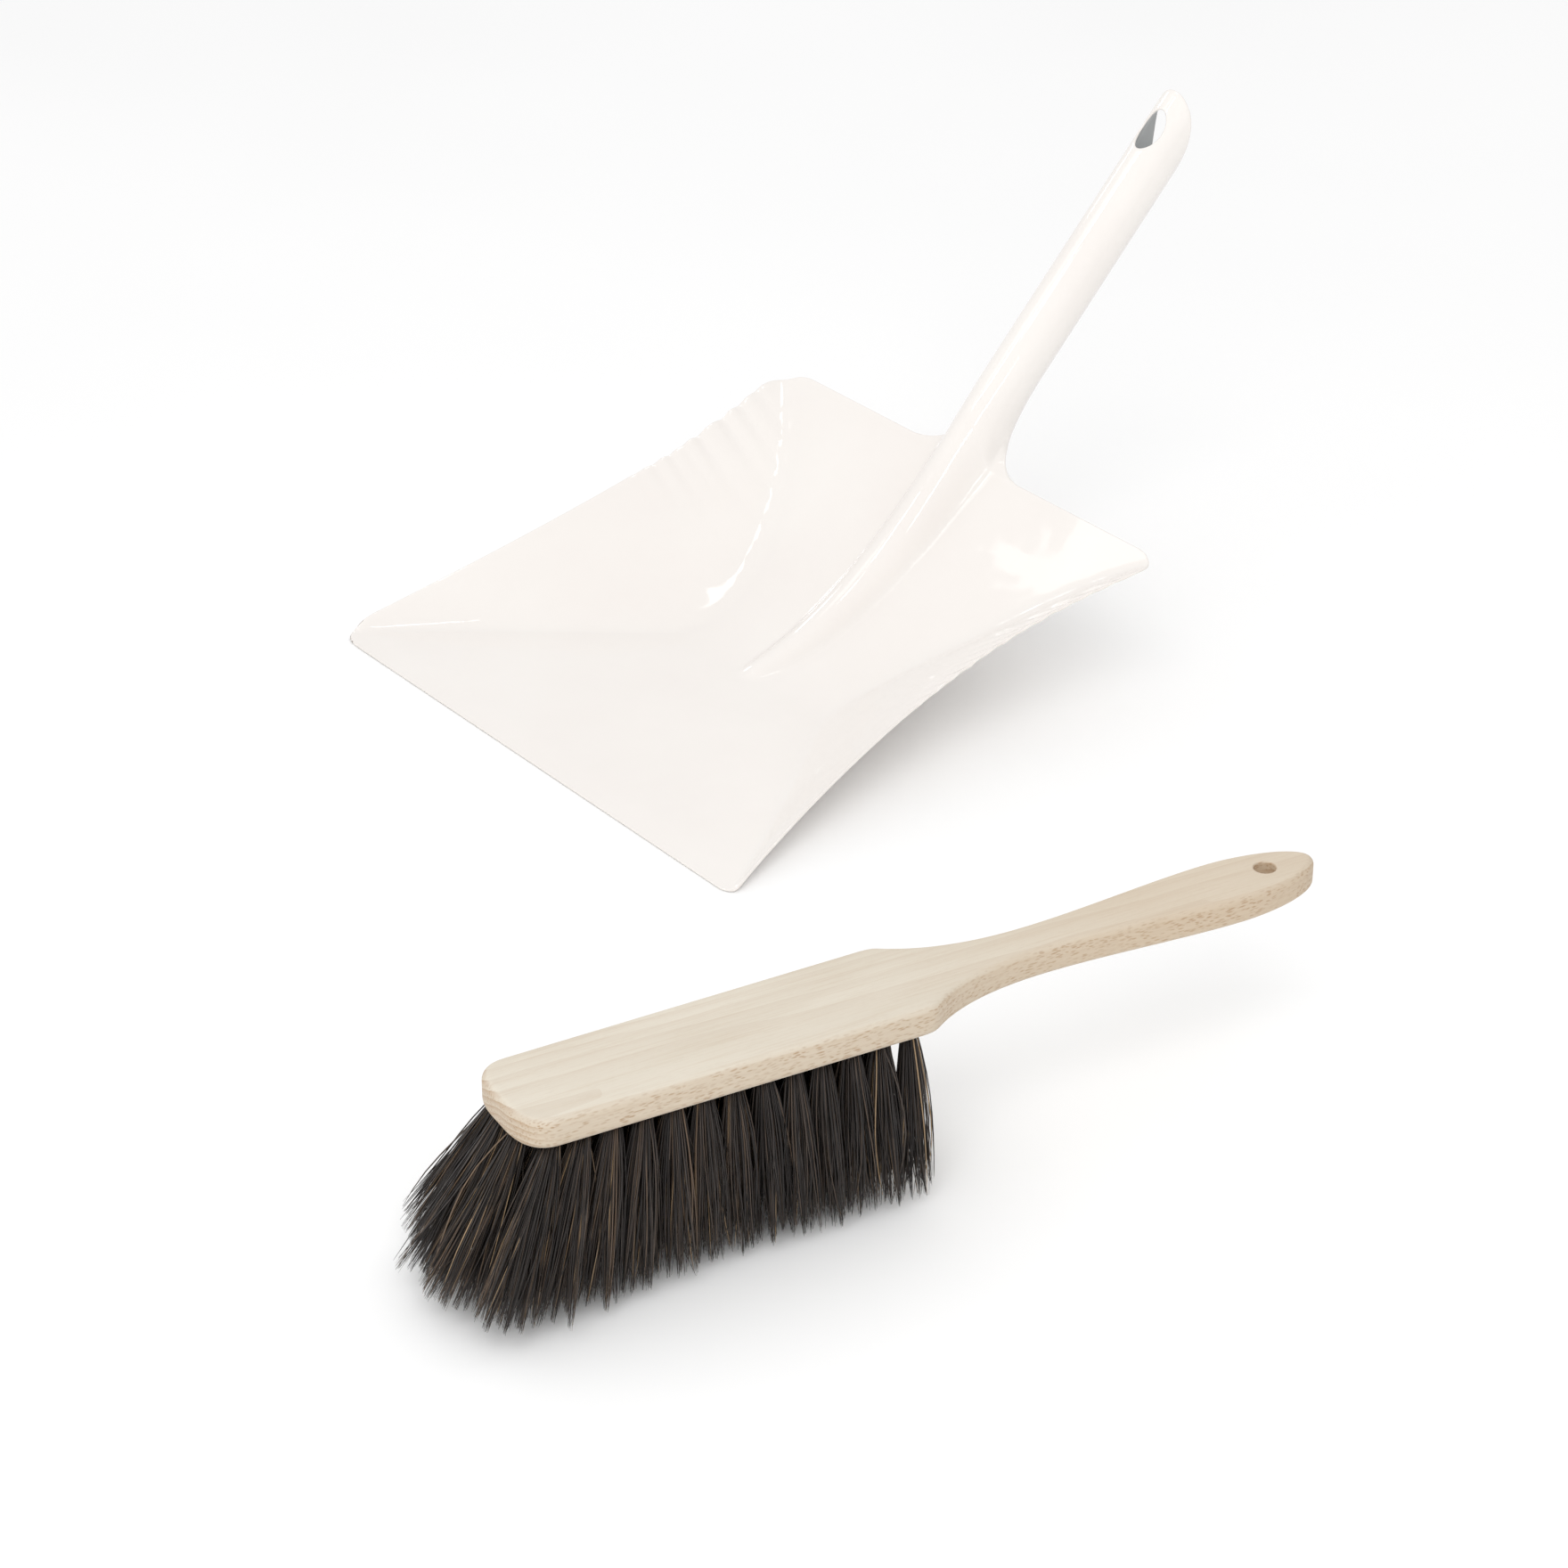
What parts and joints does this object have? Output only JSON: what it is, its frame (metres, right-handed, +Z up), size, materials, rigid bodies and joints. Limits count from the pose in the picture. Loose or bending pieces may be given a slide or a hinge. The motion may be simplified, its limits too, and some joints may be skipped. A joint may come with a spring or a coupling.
{
  "type": "dust pan and brush set",
  "caption": "Pressed-steel dust pan with a rolled tube handle, and a beech hand brush with dark bristle tufts, for sweeping up dry dirt from a floor.",
  "frame": {"origin": "middle of the pair's bounding box, at floor level", "axes": "+Y from the pan's sweeping edge towards its handle, +X from the pan towards the brush, +Z up; the brush lies beside the pan, turned 8.5 degrees"},
  "size_m": [0.4536, 0.545, 0.1936],
  "materials": {
    "enamelled_steel": "glossy warm white enamel on thin sheet steel",
    "beech": "sanded bare beech, fine straight grain with small flecks",
    "bristle_fibre": "stiff dark brown natural fibre, slightly glossy, cut ends"
  },
  "bodies": {
    "dust_pan": {"dust_pan_sheet": "enamelled_steel"},
    "hand_brush": {"brush_board": "beech", "bristle_tuft_row1_01": "bristle_fibre", "bristle_tuft_row1_02": "bristle_fibre", "bristle_tuft_row1_03": "bristle_fibre", "bristle_tuft_row1_04": "bristle_fibre", "bristle_tuft_row1_05": "bristle_fibre", "bristle_tuft_row1_06": "bristle_fibre", "bristle_tuft_row1_07": "bristle_fibre", "bristle_tuft_row1_08": "bristle_fibre", "bristle_tuft_row1_09": "bristle_fibre", "bristle_tuft_row1_10": "bristle_fibre", "bristle_tuft_row1_11": "bristle_fibre", "bristle_tuft_row1_12": "bristle_fibre", "bristle_tuft_row1_13": "bristle_fibre", "bristle_tuft_row2_01": "bristle_fibre", "bristle_tuft_row2_02": "bristle_fibre", "bristle_tuft_row2_03": "bristle_fibre", "bristle_tuft_row2_04": "bristle_fibre", "bristle_tuft_row2_05": "bristle_fibre", "bristle_tuft_row2_06": "bristle_fibre", "bristle_tuft_row2_07": "bristle_fibre", "bristle_tuft_row2_08": "bristle_fibre", "bristle_tuft_row2_09": "bristle_fibre", "bristle_tuft_row2_10": "bristle_fibre", "bristle_tuft_row2_11": "bristle_fibre", "bristle_tuft_row2_12": "bristle_fibre", "bristle_tuft_row2_13": "bristle_fibre", "bristle_tuft_row3_01": "bristle_fibre", "bristle_tuft_row3_02": "bristle_fibre", "bristle_tuft_row3_03": "bristle_fibre", "bristle_tuft_row3_04": "bristle_fibre", "bristle_tuft_row3_05": "bristle_fibre", "bristle_tuft_row3_06": "bristle_fibre", "bristle_tuft_row3_07": "bristle_fibre", "bristle_tuft_row3_08": "bristle_fibre", "bristle_tuft_row3_09": "bristle_fibre", "bristle_tuft_row3_10": "bristle_fibre", "bristle_tuft_row3_11": "bristle_fibre", "bristle_tuft_row3_12": "bristle_fibre", "bristle_tuft_row3_13": "bristle_fibre", "bristle_tuft_row4_01": "bristle_fibre", "bristle_tuft_row4_02": "bristle_fibre", "bristle_tuft_row4_03": "bristle_fibre", "bristle_tuft_row4_04": "bristle_fibre", "bristle_tuft_row4_05": "bristle_fibre", "bristle_tuft_row4_06": "bristle_fibre", "bristle_tuft_row4_07": "bristle_fibre", "bristle_tuft_row4_08": "bristle_fibre", "bristle_tuft_row4_09": "bristle_fibre", "bristle_tuft_row4_10": "bristle_fibre", "bristle_tuft_row4_11": "bristle_fibre", "bristle_tuft_row4_12": "bristle_fibre", "bristle_tuft_row4_13": "bristle_fibre"}
  },
  "joints": [
    {"name": "brush_lift", "type": "slide", "parent": "dust_pan", "child": "hand_brush", "axis": [0, 0, 1], "range_m": [0, 0.3]}
  ]
}
